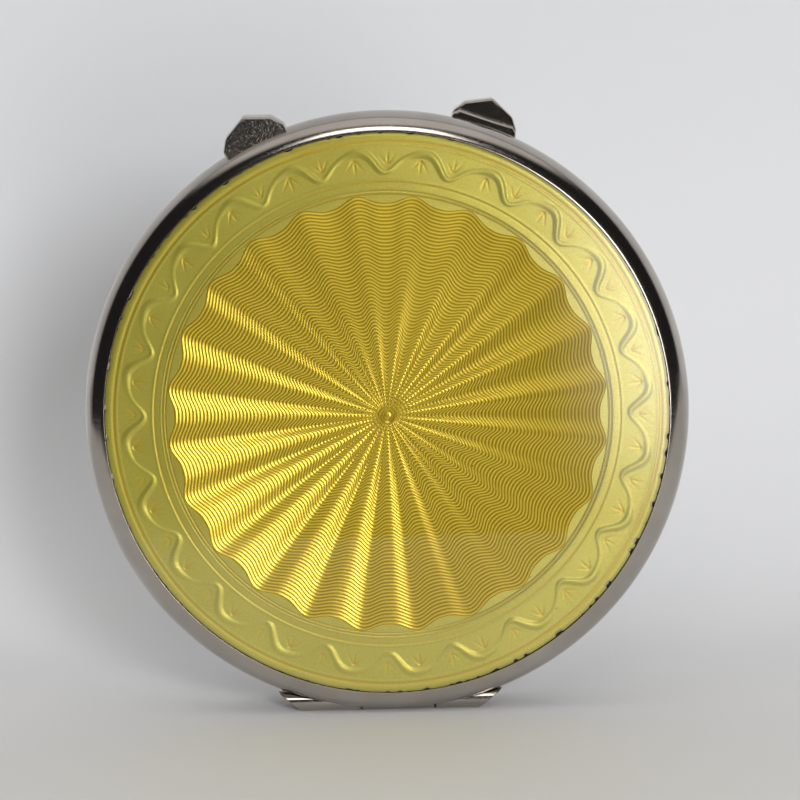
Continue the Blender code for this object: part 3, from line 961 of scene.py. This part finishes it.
# Lamps, and the room that the metal mirrors
KEY_POWER = 2.75
FILL_POWER = 0.6
LAMP_DISTANCE = 800 * MM
ROOM_TINT = (1.0, 0.965, 0.93)
BEHIND_EVERYTHING = (0.70, 0.70, 0.71)  # what the camera sees past the stage
CEILING = 0.74
SIDES = 0.40
FRONT_DARK = 0.02
KEY = 9.3
KEY_RIGHT = (0.135, 0.35)
KEY_UP = (-0.16, 0.16)
KEY_EDGE = 0.06
STRIP = 3.5
STRIP_RIGHT = (-0.20, 0.20)
STRIP_UP = (0.47, 0.85)
STRIP_EDGE = 0.04


def make_stage():
    """The floor that the box stands on, falling gently to the front, and sweeping up into the wall behind."""
    drop = (FLOOR_FRONT - FOOT_FRONT) * FLOOR_SLOPE
    path = [(FLOOR_Y + drop, FLOOR_FRONT), (FLOOR_Y, FOOT_FRONT)]
    for i in range(13):
        a = math.pi / 2 * i / 12
        path.append((FLOOR_Y - SWEEP * (1 - math.cos(a)), WALL_Z + SWEEP * (1 - math.sin(a))))
    path.append((WALL_TOP_Y, WALL_Z))
    verts = []
    for y, z in path:
        left = FLOOR_LEFT if y > 0 else STAGE_HALF
        verts += [(-STAGE_HALF, y, z), (left, y, z)]
    faces = [(2 * i, 2 * i + 1, 2 * i + 3, 2 * i + 2) for i in range(len(path) - 1)]
    mesh = bpy.data.meshes.new("stage")
    mesh.from_pydata(verts, [], faces)
    mesh.shade_smooth()
    mesh.flip_normals()
    stage = link("stage", mesh, paper("stage_paper", WALL_PAPER, FLOOR_PAPER))


def lamp(name, right, up, size, power, colour):
    """A round lamp seen at angles to the right and up from the lid. The metal mirrors only the room."""
    data = bpy.data.lights.new(name, "AREA")
    data.shape = "DISK"
    data.size = size
    data.energy = power
    data.color = colour
    obj = bpy.data.objects.new(name, data)
    bpy.context.scene.collection.objects.link(obj)
    aim = Vector((-math.sin(right), -math.cos(right) * math.sin(up), math.cos(right) * math.cos(up)))
    obj.location = aim * LAMP_DISTANCE
    obj.rotation_euler = (-aim).to_track_quat("-Z", "Y").to_euler()
    obj.visible_camera = False
    obj.visible_glossy = False


def make_lights():
    lamp("key", math.radians(12), math.radians(14), 170 * MM, KEY_POWER, (0.96, 0.98, 1.0))
    lamp("fill", math.radians(-10), math.radians(62), 900 * MM, FILL_POWER, (1.0, 0.985, 0.96))


class Room:
    """The world, as brightness by direction. In front, places are slopes to the right and up from the lid."""

    def __init__(self):
        self.world = bpy.data.worlds.new("room")
        self.world.use_nodes = True
        self.tree = self.world.node_tree
        place = self.tree.nodes.new("ShaderNodeTexCoord")
        split = self.tree.nodes.new("ShaderNodeSeparateXYZ")
        self.tree.links.new(place.outputs["Generated"], split.inputs[0])
        self.x, self.y, self.z = split.outputs
        ahead = self.math("MAXIMUM", self.z, 0.02)
        self.right = self.math("DIVIDE", self.math("MULTIPLY", self.x, -1.0), ahead)
        self.up = self.math("DIVIDE", self.math("MULTIPLY", self.y, -1.0), ahead)

    def math(self, operation, one, other):
        node = self.tree.nodes.new("ShaderNodeMath")
        node.operation = operation
        for socket, value in zip(node.inputs, (one, other)):
            if hasattr(value, "is_linked"):
                self.tree.links.new(value, socket)
            else:
                socket.default_value = value
        return node.outputs[0]

    def ramp(self, value, low, high, to_low=0.0, to_high=1.0):
        node = self.tree.nodes.new("ShaderNodeMapRange")
        node.interpolation_type = "SMOOTHSTEP"
        for key, number in (("From Min", low), ("From Max", high), ("To Min", to_low), ("To Max", to_high)):
            node.inputs[key].default_value = number
        self.tree.links.new(value, node.inputs["Value"])
        return node.outputs["Result"]

    def band(self, value, low, high, edge):
        """1 between low and high, fading out over edge on each side."""
        rise = self.ramp(value, low - edge, low + edge)
        return self.math("MULTIPLY", rise, self.ramp(value, high - edge, high + edge, 1.0, 0.0))

    def window(self, right, up, edge, radiance):
        shape = self.math("MULTIPLY", self.band(self.right, *right, edge), self.band(self.up, *up, edge))
        return self.math("MULTIPLY", shape, radiance)

    def light(self, strength, colour):
        node = self.tree.nodes.new("ShaderNodeBackground")
        node.inputs["Color"].default_value = (*colour, 1)
        if hasattr(strength, "is_linked"):
            self.tree.links.new(strength, node.inputs["Strength"])
        else:
            node.inputs["Strength"].default_value = strength
        return node.outputs[0]


def make_world():
    """A pale ceiling and dimmer sides, darkness round the camera, and two windows in that darkness."""
    room = Room()
    ceiling = room.ramp(room.y, -0.84, -0.66, CEILING, 0.0)
    behind = room.ramp(room.z, -0.25, 0.12, SIDES, 0.0)
    surround = room.math("MAXIMUM", room.math("MAXIMUM", ceiling, behind), FRONT_DARK)
    is_ahead = room.ramp(room.z, 0.2, 0.3)
    key = room.window(KEY_RIGHT, KEY_UP, KEY_EDGE, KEY)
    strip = room.window(STRIP_RIGHT, STRIP_UP, STRIP_EDGE, STRIP)
    windows = room.math("MULTIPLY", room.math("ADD", key, strip), is_ahead)
    tree = room.tree
    pick = tree.nodes.new("ShaderNodeMixShader")
    path = tree.nodes.new("ShaderNodeLightPath")
    tree.links.new(path.outputs["Is Camera Ray"], pick.inputs[0])
    tree.links.new(room.light(room.math("ADD", surround, windows), ROOM_TINT), pick.inputs[1])
    tree.links.new(room.light(1.0, BEHIND_EVERYTHING), pick.inputs[2])
    tree.links.new(pick.outputs[0], tree.nodes["World Output"].inputs["Surface"])
    bpy.context.scene.world = room.world


def make_camera():
    data = bpy.data.cameras.new("camera")
    data.lens = LENS
    data.clip_start, data.clip_end = 0.01, 20
    camera = bpy.data.objects.new("camera", data)
    bpy.context.scene.collection.objects.link(camera)
    back = Vector((0, -math.sin(VIEW_ELEVATION), math.cos(VIEW_ELEVATION)))
    camera.location = VIEW_TARGET + back * VIEW_DISTANCE
    right = Vector((-1, 0, 0))
    up = back.cross(right)
    upright = Matrix((right, up, back)).transposed().to_4x4()
    camera.matrix_world = Matrix.Translation(camera.location) @ upright @ Matrix.Rotation(-VIEW_ROLL, 4, "Z")
    bpy.context.scene.camera = camera


make_camera()
make_stage()
make_world()
make_lights()

bpy.context.scene.view_settings.view_transform = "Standard"

dress_cad_nodes()
make_enamel()
make_silver_and_gilt()
